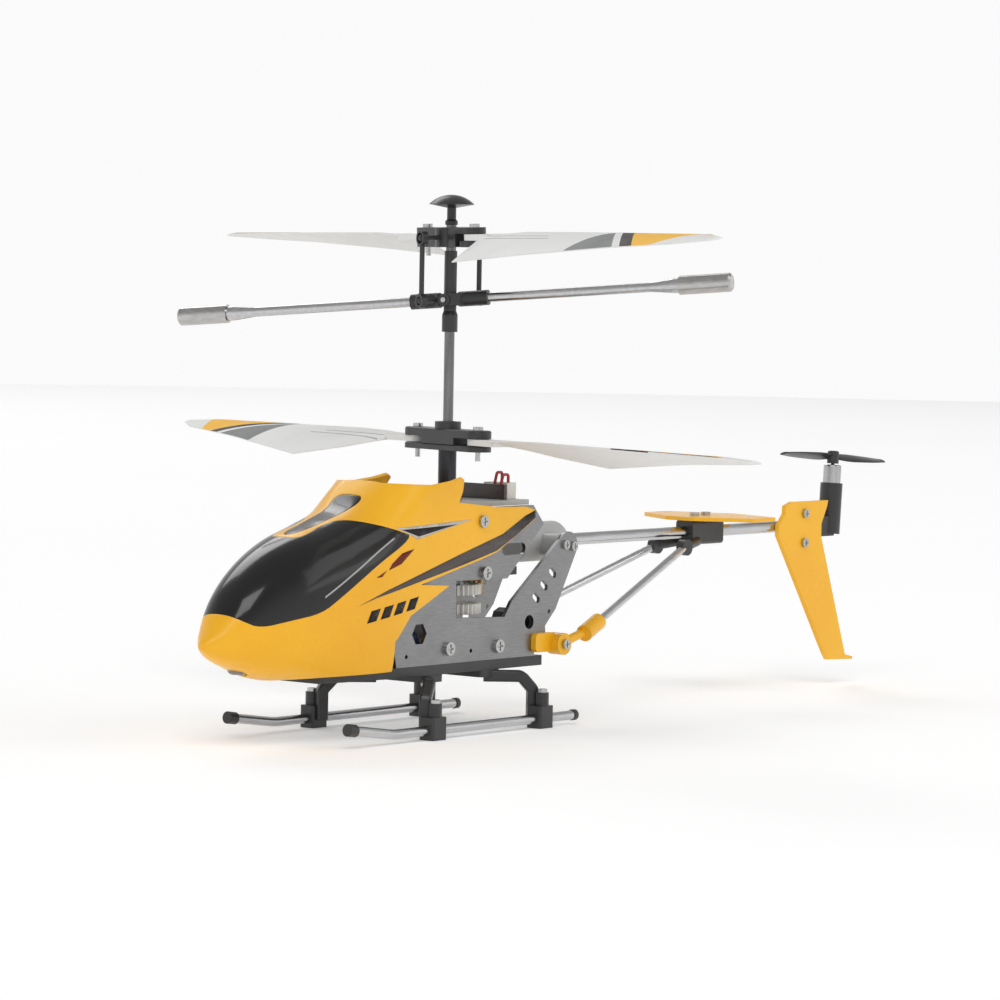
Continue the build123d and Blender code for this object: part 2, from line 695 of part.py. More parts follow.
weight_in = FLYBAR_R - WEIGHT_LEN
spin_axis = Axis(FLYBAR.origin, FLYBAR.x_dir)
with BuildPart() as flybar_rods:
    for turn in (0, 180):
        with BuildSketch(flybar_side(turn)):
            with BuildLine():
                Polyline((ROD_SOCKET_END - 4.0, 0), (ROD_SOCKET_END - 4.0, ROD_R),
                         (weight_in - 6.0, ROD_R), (weight_in - 1.2, 1.45), (weight_in, 1.45),
                         (weight_in, 0.7), (weight_in + 4.0, 0.7), (weight_in + 4.0, 0),
                         close=True)
            make_face()
        revolve(axis=spin_axis)
keep("flybar_rods", flybar_rods.part)

with BuildPart() as flybar_weights:
    for turn in (0, 180):
        with BuildSketch(flybar_side(turn)):
            with BuildLine():
                Polyline((weight_in, 0.7), (weight_in, WEIGHT_R), (FLYBAR_R - 0.4, WEIGHT_R),
                         (FLYBAR_R, WEIGHT_R - 0.4), (FLYBAR_R, 0), (weight_in + 4.0, 0),
                         (weight_in + 4.0, 0.7), close=True)
            make_face()
        revolve(axis=spin_axis)
keep("flybar_weights", flybar_weights.part)

EYE_R = 1.45
for index, name in enumerate(("a", "b")):
    low, high = LOWER_BALLS[index], UPPER_BALLS[index]
    with BuildPart() as link:
        for centre in (low, high):
            with BuildSketch(Plane(origin=centre - LINK_DIR * 0.6, z_dir=LINK_DIR)):
                Circle(EYE_R)
            extrude(amount=1.2)
        with BuildSketch(Plane(origin=low + Vector(0, 0, 1.25))):
            Circle(0.5)
        extrude(amount=high.Z - low.Z - 2.5)
        for centre, bore_r in ((low, BALL_R + RUNNING_GAP), (high, BALL_R + 0.3)):
            with BuildSketch(Plane(origin=centre - LINK_DIR * 0.6, z_dir=LINK_DIR)):
                Circle(bore_r)
            extrude(amount=1.2, mode=Mode.SUBTRACT)
    keep(f"flybar_link_{name}", link.part)

# ---- landing gear --------------------------------------------------------------------------
CLAMP_TOP = 4.4
BOSS_TOP = 7.0
BOSS_OUT = 0.5            # screw boss outboard of the tube
LEG_IN = 2.0              # leg inboard of the tube


def skid_bow(x_root, x_clamp):
    """Moulded bow: a bar under the tray, two arms out to the skids, a clamp at each foot."""
    with BuildPart() as bow:
        with BuildSketch(level(TRAY_BOTTOM)):
            with Locations((x_root, 0)):
                RectangleRounded(6.0, 17.0, 1.2)
        extrude(amount=-1.4)
        for way in (1, -1):
            shoulder = place(x_root + 0.7 * (x_clamp - x_root), way * 12.0, TRAY_BOTTOM - 1.3)
            path = [place(x_root, way * 6.5, TRAY_BOTTOM - 1.3), shoulder,
                    place(x_clamp, way * (SKID_Y - LEG_IN), 7.4),
                    place(x_clamp, way * (SKID_Y - LEG_IN), 1.6)]
            with BuildLine() as spine:
                FilletPolyline(*path, radius=1.4)
            with BuildSketch(Plane(origin=path[0], z_dir=path[1] - path[0])):
                RectangleRounded(2.3, 2.3, 0.5)
            sweep(path=spine.line)
            with BuildSketch(level(0)):
                with Locations((x_clamp, way * SKID_Y)):
                    RectangleRounded(4.4, 3.6, 0.6)
            extrude(amount=CLAMP_TOP)
            with BuildSketch(level(CLAMP_TOP)):
                with Locations((x_clamp, way * (SKID_Y + BOSS_OUT))):
                    Circle(1.3)
            extrude(amount=BOSS_TOP - CLAMP_TOP)
            with BuildSketch(cross(x_clamp - 3.0)):
                with Locations((way * SKID_Y, SKID_Z)):
                    Circle(SKID_R)
            extrude(amount=6.0, mode=Mode.SUBTRACT)
            with BuildSketch(level(BOSS_TOP)):
                with Locations((x_clamp, way * (SKID_Y + BOSS_OUT))):
                    Circle(SCREW_R)
            extrude(amount=-2.0, mode=Mode.SUBTRACT)
    return bow.part


FRONT_ROOT_X, REAR_ROOT_X = 13.0, -4.5
keep("front_skid_bow", skid_bow(FRONT_ROOT_X, FRONT_CLAMP_X))
keep("rear_skid_bow", skid_bow(REAR_ROOT_X, REAR_CLAMP_X))

CAP_LEN = 2.2
with BuildPart() as skid_tubes:
    for way in (1, -1):
        y = way * SKID_Y
        route = [place(SKID_REAR_X + 1.0, y, SKID_Z), place(33.0, y, SKID_Z),
                 place(44.2, y, 3.3)]
        with BuildLine() as spine:
            FilletPolyline(*route, radius=20.0)
        with BuildSketch(Plane(origin=route[0], z_dir=route[1] - route[0])):
            Circle(SKID_R)
        sweep(path=spine.line)
keep("skid_tubes", skid_tubes.part)

with BuildPart() as skid_caps:
    for way in (1, -1):
        y = way * SKID_Y
        tube_end = place(44.2, y, 3.3)
        nose_way = (tube_end - place(33.0, y, SKID_Z)).normalized()
        with BuildSketch(Plane(origin=tube_end, z_dir=nose_way)):
            Circle(SKID_R + 0.25)
        extrude(amount=CAP_LEN)
        with BuildSketch(cross(SKID_REAR_X + 1.0)):
            with Locations((y, SKID_Z)):
                Circle(SKID_R + 0.15)
        extrude(amount=-CAP_LEN / 2)
keep("skid_caps", skid_caps.part)

# ---- tail ----------------------------------------------------------------------------------
with BuildPart() as boom_holder:
    with BuildSketch(cross(BOOM_START_X + 3.4)):
        with Locations((0, BOOM_Z)):
            Circle(4.0)
    extrude(amount=-14.6)
    fillet(boom_holder.edges().group_by(Axis.X)[0], 1.6)
    with BuildSketch(side(PLATE_IN)):
        with Locations((-28.6, BOOM_Z - 0.4)):
            RectangleRounded(6.0, 4.6, 1.2)
    extrude(amount=2 * PLATE_IN)
    with BuildSketch(cross(BOOM_START_X)):
        with Locations((0, BOOM_Z)):
            Circle(BOOM_R)
    extrude(amount=-16.0, mode=Mode.SUBTRACT)
    with BuildSketch(side(PLATE_IN)):
        with Locations(*BOOM_SCREWS):
            Circle(SCREW_R)
    extrude(amount=2 * PLATE_IN, mode=Mode.SUBTRACT)
keep("boom_holder", boom_holder.part)

with BuildPart() as tail_boom:
    with BuildSketch(cross(BOOM_END_X)):
        with Locations((0, BOOM_Z)):
            Circle(BOOM_R)
            Circle(BOOM_R - 0.35, mode=Mode.SUBTRACT)
    extrude(amount=BOOM_START_X - BOOM_END_X)
    with BuildSketch(side(0)):
        with Locations((-28.7, BOOM_Z - 0.4)):
            Rectangle(4.2, 1.6)
    extrude(amount=3.0, both=True, mode=Mode.SUBTRACT)
keep("tail_boom", tail_boom.part)

STAB_T = 0.8
STAB_SCREWS = [(-82.5, 0), (-86.5, 0)]
CLAMP_FRONT_X, CLAMP_REAR_X = -79.0, -90.0
with BuildPart() as stabilizer_clamp:
    with BuildSketch(cross(CLAMP_FRONT_X)):
        with Locations((0, BOOM_Z)):
            RectangleRounded(4.4, 2 * (STAB_Z - BOOM_Z), 0.8)
            Circle(BOOM_R, mode=Mode.SUBTRACT)
    extrude(amount=CLAMP_REAR_X - CLAMP_FRONT_X)
    # arms down and forward to the brace ends
    for way in (1, -1):
        arm_end = place(BRACE_REAR[0], way * BRACE_REAR[1], BRACE_REAR[2])
        arm_start = place(CLAMP_FRONT_X - 2.0, way * 1.9, BOOM_Z - 1.9)
        with BuildSketch(towards(arm_start, arm_end)):
            Circle(1.0)
        extrude(amount=(arm_end - arm_start).length)
        with BuildSketch(side(way * BRACE_REAR[1] + 0.9)):
            with Locations((BRACE_REAR[0], BRACE_REAR[2])):
                Circle(1.7)
        extrude(amount=1.8)
keep("stabilizer_clamp", stabilizer_clamp.part)

with BuildPart() as stabilizer:
    with BuildSketch(level(STAB_Z)) as stabilizer_plan:
        Polygon((-77.0, -3.4), (-77.0, 3.4), (-84.0, 14.6), (-92.0, 14.6), (-97.0, 0),
                (-92.0, -14.6), (-84.0, -14.6), align=None)
        fillet(stabilizer_plan.vertices(), 1.2)
        with Locations(*STAB_SCREWS):
            Circle(SCREW_R, mode=Mode.SUBTRACT)
    extrude(amount=STAB_T)
keep("stabilizer", stabilizer.part)

SLEEVE_LEN = 10.0
LUG_X, LUG_Z = -20.6, 16.0
EYE = (LUG_X - 3.2, LUG_Z - 0.4)
EYE_Y = 10.6
EYE_T = 2.0


def brace_run(way):
    """Front end, rear end and starting plane of one brace."""
    front = place(BRACE_FRONT[0], way * BRACE_FRONT[1], BRACE_FRONT[2])
    rear = place(BRACE_REAR[0], way * BRACE_REAR[1], BRACE_REAR[2])
    return front, rear, towards(front, rear)


with BuildPart() as brace_rods:
    for way in (1, -1):
        front, rear, run = brace_run(way)
        with BuildSketch(run):
            Circle(BRACE_R)
        extrude(amount=(rear - front).length - 0.6)
        with BuildSketch(side(way * BRACE_REAR[1] + 0.9)):
            with Locations((BRACE_REAR[0], BRACE_REAR[2])):
                Circle(1.7)
        extrude(amount=1.8, mode=Mode.SUBTRACT)
keep("brace_rods", brace_rods.part)

# moulded sleeves: a socket for the rod, then a flat eye screwed to the lug
with BuildPart() as brace_sleeves:
    for way in (1, -1):
        front, rear, run = brace_run(way)
        eye = place(EYE[0], way * EYE_Y, EYE[1])
        with BuildSketch(run.offset(-2.0)):
            Circle(1.7)
        extrude(amount=6.5)
        with BuildSketch(towards(front, eye)):
            Circle(0.9)
        extrude(amount=(eye - front).length)
        with BuildSketch(side(way * EYE_Y + EYE_T / 2)):
            with Locations(EYE):
                Circle(2.2)
        extrude(amount=EYE_T)
        with BuildSketch(side(way * EYE_Y + 3.0)):
            with Locations(EYE):
                Circle(SCREW_R)
        extrude(amount=6.0, mode=Mode.SUBTRACT)
        with BuildSketch(run):
            Circle(BRACE_R)
        extrude(amount=8.0, mode=Mode.SUBTRACT)
keep("brace_sleeves", brace_sleeves.part)

with BuildPart() as brace_lugs:
    for way in (1, -1):
        face = Plane(origin=place(0, way * PLATE_OUT, 0), x_dir=(1, 0, 0), z_dir=(0, -1, 0))
        with BuildSketch(face):
            with Locations((LUG_X + 0.4, LUG_Z)):
                RectangleRounded(6.4, 3.8, 1.0)
            with Locations(EYE):
                Circle(2.2)
            with Locations(EYE):
                Circle(SCREW_R, mode=Mode.SUBTRACT)
        extrude(amount=-way * (EYE_Y - EYE_T / 2 - PLATE_OUT))
keep("brace_lugs", brace_lugs.part)

# ---- fin and tail motor --------------------------------------------------------------------
FIN_SCREWS = [(-119.8, 38.2), (-119.7, 31.8)]
FIN_Y = 1.35
with BuildPart() as tail_fin:
    with BuildSketch(side(FIN_Y + FIN_T)):
        with BuildLine():
            Polyline((-112.6, 38.4), (-112.6, 40.0), (-115.2, 40.8), (-128.8, 40.8),
                     (-128.4, 39.4), (-126.4, 35.7), (-126.4, 32.9), (-136.6, 6.4),
                     (-139.6, 5.7), (-139.4, 5.2), (-129.9, 5.6), (-128.4, 7.4),
                     (-110.2, 33.6), (-110.2, 35.8), close=True)
        make_face()
        with Locations(*FIN_SCREWS):
            Circle(SCREW_R, mode=Mode.SUBTRACT)
    extrude(amount=FIN_T)
keep("tail_fin", tail_fin.part)

TAIL_LEAN = 4.0
TAIL = Plane(origin=place(TAIL_MOTOR_X, 0, BOOM_Z),
             x_dir=(cos(radians(TAIL_LEAN)), 0, sin(radians(TAIL_LEAN))),
             z_dir=(-sin(radians(TAIL_LEAN)), 0, cos(radians(TAIL_LEAN))))
TAIL_MOTOR_R = 1.95
TAIL_MOTOR_LEN = 14.0
TAIL_HUB = 14.7           # middle of the propeller hub, up the motor's axis
HOLDER_R = 2.45
with BuildPart() as tail_motor_holder:
    with BuildSketch(TAIL.offset(-2.2)):
        Circle(HOLDER_R)
    extrude(amount=11.2)
    # bracket that carries the fin and clamps the boom's end
    with BuildSketch(side(FIN_Y)):
        with Locations((-119.8, BOOM_Z - 0.4)):
            RectangleRounded(4.6, 9.2, 0.8)
        with Locations(((TAIL_MOTOR_X - 119.0) / 2, BOOM_Z - 0.4)):
            Rectangle(-119.0 - TAIL_MOTOR_X, 4.4)
        with Locations(*FIN_SCREWS):
            Circle(SCREW_R, mode=Mode.SUBTRACT)
    extrude(amount=2.8)
    with BuildSketch(cross(BOOM_END_X)):
        with Locations((0, BOOM_Z)):
            Circle(BOOM_R)
    extrude(amount=12.0, mode=Mode.SUBTRACT)
    with BuildSketch(TAIL.offset(-1.0)):
        Circle(TAIL_MOTOR_R)
    extrude(amount=12.0, mode=Mode.SUBTRACT)
keep("tail_motor_holder", tail_motor_holder.part)

with BuildPart() as tail_motor:
    with BuildSketch(TAIL.offset(-1.0)):
        Circle(TAIL_MOTOR_R)
    extrude(amount=TAIL_MOTOR_LEN)
    fillet(tail_motor.edges().filter_by(GeomType.CIRCLE).sort_by(Axis.Z)[-1], 0.4)
    with BuildSketch(TAIL.offset(TAIL_MOTOR_LEN - 1.0)):
        Circle(MOTOR_SHAFT_R + RUNNING_GAP)
    extrude(amount=-6.0, mode=Mode.SUBTRACT)
keep("tail_motor", tail_motor.part)

TAIL_SPAN = Plane(origin=TAIL.origin, x_dir=TAIL.x_dir * cos(radians(TAIL_ROTOR_ANGLE))
                  + TAIL.y_dir * sin(radians(TAIL_ROTOR_ANGLE)), z_dir=TAIL.z_dir)
with BuildPart() as tail_rotor:
    with BuildSketch(TAIL.offset(TAIL_HUB - 1.4)):
        Circle(1.3)
    extrude(amount=2.8)
    fillet(tail_rotor.edges().filter_by(GeomType.CIRCLE).sort_by(Axis.Z)[-1], 0.5)
    with BuildSketch(TAIL.offset(TAIL_HUB - 7.0)):
        Circle(MOTOR_SHAFT_R)
    extrude(amount=6.0)
    for way in (1, -1):
        out = TAIL_SPAN.x_dir * way
        across_dir = TAIL_SPAN.y_dir * way
        hub = TAIL.origin + TAIL.z_dir * TAIL_HUB
        for s, chord, pitch in ((0.6, 1.6, 30.0), (4.0, 3.6, 26.0), (10.0, 4.0, 18.0),
                                (TAIL_ROTOR_R, 2.2, 14.0)):
            p = radians(pitch)
            chord_dir = across_dir * cos(p) + TAIL.z_dir * sin(p)
            with BuildSketch(Plane(origin=hub + out * s, x_dir=chord_dir, z_dir=out)):
                Ellipse(chord / 2, 0.28)
        loft()
keep("tail_rotor", tail_rotor.part)

# ---- fasteners -----------------------------------------------------------------------------
with BuildPart() as frame_screws:
    for way in (1, -1):
        for spots, length, head_r, head_t in ((PLATE_SCREWS + [DECK_SCREW], 3.2, 1.35, 0.8),
                                              (BOOM_SCREWS, 3.0, 0.95, 0.6)):
            for x, z in spots:
                out = Plane(origin=place(x, way * PLATE_OUT, z), z_dir=(0, way, 0))
                add(pins(out, [(0, 0)], SCREW_R, length, head_r, head_t))
keep("frame_screws", frame_screws.part)

CANOPY_SCREW = (2.1, 41.0)
CANOPY_HALF = 10.9        # half width of the canopy at that screw
SKID_SPOTS = [place(x, way * (SKID_Y + BOSS_OUT), BOSS_TOP)
              for x in (FRONT_CLAMP_X, REAR_CLAMP_X) for way in (1, -1)]
STAB_SPOTS = [place(x, y, STAB_Z + STAB_T) for x, y in STAB_SCREWS]
FIN_SPOTS = [place(x, FIN_Y + FIN_T, z) for x, z in FIN_SCREWS]
with BuildPart() as small_screws:
    for spot in SKID_SPOTS:
        add(pins(Plane(origin=spot), [(0, 0)], SCREW_R, 2.0, HEAD_R, HEAD_T))
    for spot in STAB_SPOTS:
        add(pins(Plane(origin=spot), [(0, 0)], SCREW_R, STAB_T, HEAD_R, HEAD_T))
    for spot in FIN_SPOTS:
        add(pins(Plane(origin=spot, z_dir=(0, 1, 0)), [(0, 0)], SCREW_R, 2.2, HEAD_R, HEAD_T))
    for way in (1, -1):
        spot = place(EYE[0], way * (EYE_Y + EYE_T / 2), EYE[1])
        add(pins(Plane(origin=spot, z_dir=(0, way, 0)), [(0, 0)], SCREW_R,
                 EYE_Y + EYE_T / 2 - PLATE_OUT, HEAD_R, HEAD_T))
        # canopy peg, from the shell's side wall to the side plate
        spot = place(CANOPY_SCREW[0], way * CANOPY_HALF, CANOPY_SCREW[1])
        add(pins(Plane(origin=spot, z_dir=(0, way, 0)), [(0, 0)], SCREW_R,
                 CANOPY_HALF - PLATE_OUT, 1.2, HEAD_T))
keep("small_screws", small_screws.part)

# ---- canopy --------------------------------------------------------------------------------
# ahead of the shaft, half width, top, bottom, squareness of the section
HULL = [(70.2, 0.9, 20.3, 18.8, 2.0), (67.5, 3.6, 23.4, 16.9, 2.1), (63.0, 6.4, 29.8, 15.0, 2.2),
        (57.0, 8.7, 34.9, 12.9, 2.3), (49.0, 10.6, 38.9, 11.5, 2.5), (40.0, 11.6, 41.6, 9.0, 2.7),
        (32.0, 11.9, 44.4, 6.0, 3.0), (26.0, 11.8, 48.9, 5.0, 3.4), (20.0, 11.6, 53.0, 5.0, 3.8),
        (8.0, 11.2, 54.0, 5.0, 4.0), (-4.0, 10.8, 54.0, 5.0, 4.0), (-17.0, 10.2, 54.0, 5.0, 4.0)]
SECTION_POINTS = 20


def hull(inset):
    """Solid inside the canopy's outer skin, or inside a skin inset from it."""
    with BuildPart() as body:
        for x, half, top, bottom, power in HULL:
            if inset and x > 69:
                x, half, top, bottom = 69.2, 1.0, 20.2, 18.9
            else:
                half, top, bottom = half - inset, top - inset, bottom + inset
            middle, tall = (top + bottom) / 2, (top - bottom) / 2
            ring = []
            for step in range(SECTION_POINTS):
                a = 2 * pi * step / SECTION_POINTS
                ring.append((half * copysign(abs(cos(a)) ** (2 / power), cos(a)),
                             middle + tall * copysign(abs(sin(a)) ** (2 / power), sin(a))))
            with BuildSketch(cross(x)):
                with BuildLine():
                    Spline(*ring, periodic=True)
                make_face()
        loft()
    return body.part


# edge of the shell seen from the side, from the chin round the open top to the tail wings
SHELL_OUTLINE = [(73.0, 12.3), (73.0, 62.0), (28.0, 62.0), (25.6, 48.9), (17.0, 48.5),
                 (11.0, 49.1), (7.4, 49.8), (6.5, 49.2), (7.6, 47.0), (9.2, 44.9), (-2.4, 43.7),
                 (-12.4, 43.4), (-15.5, 42.7), (-15.7, 41.0), (-2.6, 34.8), (1.0, 33.9),
                 (21.4, 29.5), (12.4, 28.9), (17.6, 26.6), (24.3, 23.7), (28.0, 19.6),
                 (28.8, 19.0), (28.8, 13.2), (45.2, 12.8), (56.0, 12.3)]
GLASS_OUTLINE = [(74.0, 30.0), (66.4, 25.7), (64.8, 24.5), (62.4, 23.3), (55.8, 24.4),
                 (48.9, 25.5), (44.2, 28.0), (34.7, 33.4), (24.4, 38.6), (27.3, 39.9),
                 (33.7, 41.5), (36.6, 42.0), (40.7, 41.1), (46.9, 39.3), (48.6, 39.0),
                 (54.0, 44.0)]

with BuildPart() as shell:
    add(hull(0.0))
    add(hull(WALL), mode=Mode.SUBTRACT)
    with BuildSketch(side(20.0)):
        Polygon(*SHELL_OUTLINE, align=None)
    extrude(amount=40.0, mode=Mode.INTERSECT)

with BuildPart() as windshield:
    add(shell.part)
    with BuildSketch(side(20.0)):
        Polygon(*GLASS_OUTLINE, align=None)
    extrude(amount=40.0, mode=Mode.INTERSECT)
keep("windshield", windshield.part)

ROOF_X, ROOF_LEN, ROOF_W = 37.6, 17.0, 5.0
with BuildPart() as roof_window:
    add(shell.part)
    with BuildSketch(level(39.6)):
        with Locations((ROOF_X, 0)):
            SlotOverall(ROOF_LEN, ROOF_W)
    extrude(amount=12.0, mode=Mode.INTERSECT)
    add(windshield.part, mode=Mode.SUBTRACT)
keep("roof_window", roof_window.part)

LAMP_X, LAMP_Z = 60.4, 13.8
with BuildPart() as canopy:
    add(shell.part)
    add(windshield.part, mode=Mode.SUBTRACT)
    add(roof_window.part, mode=Mode.SUBTRACT)
    with BuildSketch(side(20.0)):
        with Locations(CANOPY_SCREW):
            Circle(SCREW_R)
    extrude(amount=40.0, mode=Mode.SUBTRACT)
    with BuildSketch(level(10.0)):
        with Locations((LAMP_X, 0)):
            Circle(1.9)
    extrude(amount=7.0, mode=Mode.SUBTRACT)
keep("canopy", canopy.part)

# lamp lens in the chin, its stem reaching up into the nose
with BuildPart() as nose_lamp:
    with BuildSketch(level(LAMP_Z)):
        with Locations((LAMP_X, 0)):
            Circle(1.85)
    extrude(amount=4.0)
    fillet(nose_lamp.edges().filter_by(GeomType.CIRCLE).sort_by(Axis.Z)[0], 0.8)
keep("nose_lamp", nose_lamp.part)
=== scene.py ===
"""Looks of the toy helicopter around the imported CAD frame.

Metres, +X to the nose, +Y to port, +Z up. Sizes measured from the rotor shaft are in millimetres
and go through at().
"""
import json
from math import copysign, cos, pi, radians, sin

import bmesh
import bpy
from mathutils import Matrix, Vector


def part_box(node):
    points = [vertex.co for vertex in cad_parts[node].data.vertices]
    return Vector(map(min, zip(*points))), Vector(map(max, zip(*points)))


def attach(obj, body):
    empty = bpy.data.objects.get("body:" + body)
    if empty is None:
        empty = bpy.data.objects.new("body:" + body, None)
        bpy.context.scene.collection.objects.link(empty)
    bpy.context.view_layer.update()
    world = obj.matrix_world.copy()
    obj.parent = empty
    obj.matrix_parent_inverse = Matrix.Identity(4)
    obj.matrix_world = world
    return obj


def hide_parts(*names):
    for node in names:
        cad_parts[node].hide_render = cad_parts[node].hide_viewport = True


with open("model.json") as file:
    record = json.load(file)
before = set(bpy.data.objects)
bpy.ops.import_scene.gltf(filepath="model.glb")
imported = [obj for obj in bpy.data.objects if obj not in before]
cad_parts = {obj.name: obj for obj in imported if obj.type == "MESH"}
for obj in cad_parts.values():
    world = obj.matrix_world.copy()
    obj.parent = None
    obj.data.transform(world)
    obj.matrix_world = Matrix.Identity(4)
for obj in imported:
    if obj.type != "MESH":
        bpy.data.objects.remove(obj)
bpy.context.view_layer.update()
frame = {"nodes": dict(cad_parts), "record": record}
nodes = frame["nodes"]
MM = 0.001
shaft_low, shaft_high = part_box("inner_shaft")
SHAFT_X = (shaft_low.x + shaft_high.x) / 2


def at(x, y, z):
    """Millimetres from the rotor shaft's foot to a point in the frame."""
    return Vector((SHAFT_X + x * MM, y * MM, z * MM))


# ---- materials ---------------------------------------------------------------------------------
class Look:
    """A node material being built: colour, roughness and bump come from procedural nodes."""

    def __init__(self, name, color, roughness, metallic=0.0, coat=0.0, specular=0.5):
        self.material = bpy.data.materials.new(name)
        self.material.use_nodes = True
        self.tree = self.material.node_tree
        self.shader = self.tree.nodes["Principled BSDF"]
        self.set("Base Color", (*color, 1.0))
        self.set("Roughness", roughness)
        self.set("Metallic", metallic)
        self.set("Coat Weight", coat)
        self.set("Coat Roughness", 0.06)
        self.set("Specular IOR Level", specular)
        self.coords = self.node("ShaderNodeTexCoord").outputs["Object"]
        self.height = None

    def set(self, socket, value):
        self.shader.inputs[socket].default_value = value

    def node(self, kind, **values):
        made = self.tree.nodes.new(kind)
        for key, value in values.items():
            setattr(made, key, value)
        return made

    def join(self, output, socket):
        self.tree.links.new(output, socket)

    def stretched(self, scale):
        """Object coordinates scaled per axis."""
        mapping = self.node("ShaderNodeMapping")
        mapping.inputs["Scale"].default_value = scale
        self.join(self.coords, mapping.inputs["Vector"])
        return mapping.outputs["Vector"]

    def noise(self, scale, detail=3.0, stretch=(1, 1, 1), rough=0.5):
        made = self.node("ShaderNodeTexNoise")
        made.inputs["Scale"].default_value = scale
        made.inputs["Detail"].default_value = detail
        made.inputs["Roughness"].default_value = rough
        self.join(self.stretched(stretch), made.inputs["Vector"])
        return made.outputs["Fac"]

    def spread(self, value, low, high, start=0.3, end=0.7):
        """Maps a noise value to the range low..high."""
        made = self.node("ShaderNodeMapRange")
        made.inputs["From Min"].default_value = start
        made.inputs["From Max"].default_value = end
        made.inputs["To Min"].default_value = low
        made.inputs["To Max"].default_value = high
        self.join(value, made.inputs["Value"])
        return made.outputs["Result"]

    def mix(self, share, first, second):
        """Colour mix; first and second are colours or outputs."""
        made = self.node("ShaderNodeMix", data_type="RGBA")
        self.join(share, made.inputs["Factor"])
        for socket, value in ((made.inputs[6], first), (made.inputs[7], second)):
            if isinstance(value, tuple):
                socket.default_value = (*value, 1.0)
            else:
                self.join(value, socket)
        return made.outputs[2]

    def color(self, output):
        self.join(output, self.shader.inputs["Base Color"])

    def rough(self, output):
        self.join(output, self.shader.inputs["Roughness"])

    def bump(self, height, depth, strength=1.0):
        """Adds relief of that depth in metres, on top of any relief already there."""
        made = self.node("ShaderNodeBump")
        made.inputs["Strength"].default_value = strength
        made.inputs["Distance"].default_value = depth
        self.join(height, made.inputs["Height"])
        if self.height is not None:
            self.join(self.height, made.inputs["Normal"])
        self.height = made.outputs["Normal"]
        self.join(self.height, self.shader.inputs["Normal"])

    def soften(self, radius):
        """Rounds the look of sharp edges."""
        made = self.node("ShaderNodeBevel", samples=4)
        made.inputs["Radius"].default_value = radius
        self.height = made.outputs["Normal"]
        self.join(self.height, self.shader.inputs["Normal"])


YELLOW = (0.93, 0.49, 0.018)
AMBER = (0.88, 0.43, 0.012)


def moulded(name, light, dark, roughness, coat, grain, soften=0.12 * MM, specular=0.5):
    """Injection-moulded plastic: faint tone changes, uneven gloss and a fine skin."""
    look = Look(name, light, roughness, coat=coat, specular=specular)
    look.soften(soften)
    look.color(look.mix(look.spread(look.noise(45, 3), 0, 1), light, dark))
    look.rough(look.spread(look.noise(160, 4), roughness * 0.8, roughness * 1.25))
    look.bump(look.noise(2600, 3), grain, 0.35)
    look.bump(look.noise(90, 2), 0.02 * MM, 0.2)
    return look.material


def metal(name, light, dark, roughness, streak=(1, 1, 1), scale=900, depth=0.004 * MM,
          soften=0.08 * MM):
    """Metal with drawn or turned marks along the given stretch."""
    look = Look(name, light, roughness, metallic=1.0)
    look.soften(soften)
    marks = look.noise(scale, 6, streak, 0.65)
    look.color(look.mix(look.spread(marks, 0, 1), light, dark))
    stains = look.noise(120, 4)
    look.rough(look.spread(stains, roughness * 0.75, roughness * 1.35))
    look.bump(marks, depth, 0.6)
    return look.material


looks = {
    "shell_yellow": moulded("shell_yellow", YELLOW, AMBER, 0.3, 0.12, 0.006 * MM,
                            specular=0.3),
    "window_black": moulded("window_black", (0.006, 0.006, 0.006), (0.010, 0.010, 0.010), 0.16,
                            0.25, 0.002 * MM, specular=0.3),
    "black_plastic": moulded("black_plastic", (0.016, 0.016, 0.017), (0.03, 0.03, 0.031), 0.36,
                             0.1, 0.012 * MM),
    "grey_plastic": moulded("grey_plastic", (0.50, 0.50, 0.49), (0.42, 0.42, 0.41), 0.42, 0.1,
                            0.008 * MM),
    "gear_white": moulded("gear_white", (0.74, 0.73, 0.69), (0.62, 0.61, 0.57), 0.38, 0.15,
                          0.006 * MM, soften=0.05 * MM),
    "connector_white": moulded("connector_white", (0.76, 0.74, 0.68), (0.66, 0.63, 0.56), 0.4,
                               0.1, 0.006 * MM),
    "blade_white": moulded("blade_white", (0.80, 0.80, 0.79), (0.74, 0.74, 0.73), 0.24, 0.4,
                           0.003 * MM, soften=0.05 * MM),
    "battery_wrap": moulded("battery_wrap", (0.05, 0.07, 0.14), (0.03, 0.04, 0.09), 0.3, 0.4,
                            0.01 * MM),
    "board_green": moulded("board_green", (0.035, 0.022, 0.018), (0.02, 0.013, 0.011), 0.3, 0.3,
                           0.02 * MM),
    "lead_red": moulded("lead_red", (0.42, 0.012, 0.014), (0.30, 0.008, 0.01), 0.35, 0.2,
                        0.004 * MM),
    "plate_metal": metal("plate_metal", (0.31, 0.31, 0.315), (0.23, 0.23, 0.235), 0.36,
                         (1, 9, 14), 420, 0.005 * MM),
    "bright_metal": metal("bright_metal", (0.62, 0.62, 0.63), (0.48, 0.48, 0.49), 0.18,
                          (0.06, 1, 1), 1600, 0.003 * MM),
    "weight_steel": metal("weight_steel", (0.56, 0.55, 0.54), (0.42, 0.41, 0.40), 0.2,
                          (1, 0.08, 1), 1300, 0.004 * MM),
    "screw_steel": metal("screw_steel", (0.55, 0.55, 0.54), (0.40, 0.40, 0.39), 0.24),
    "motor_steel": metal("motor_steel", (0.50, 0.50, 0.50), (0.38, 0.38, 0.38), 0.26, (1, 1, 0.1)),
    "dark_tube": metal("dark_tube", (0.055, 0.055, 0.06), (0.035, 0.035, 0.04), 0.3,
                       (1, 1, 0.06), 1400),
    "brass": metal("brass", (0.60, 0.40, 0.14), (0.48, 0.31, 0.10), 0.26, (1, 1, 6)),
}


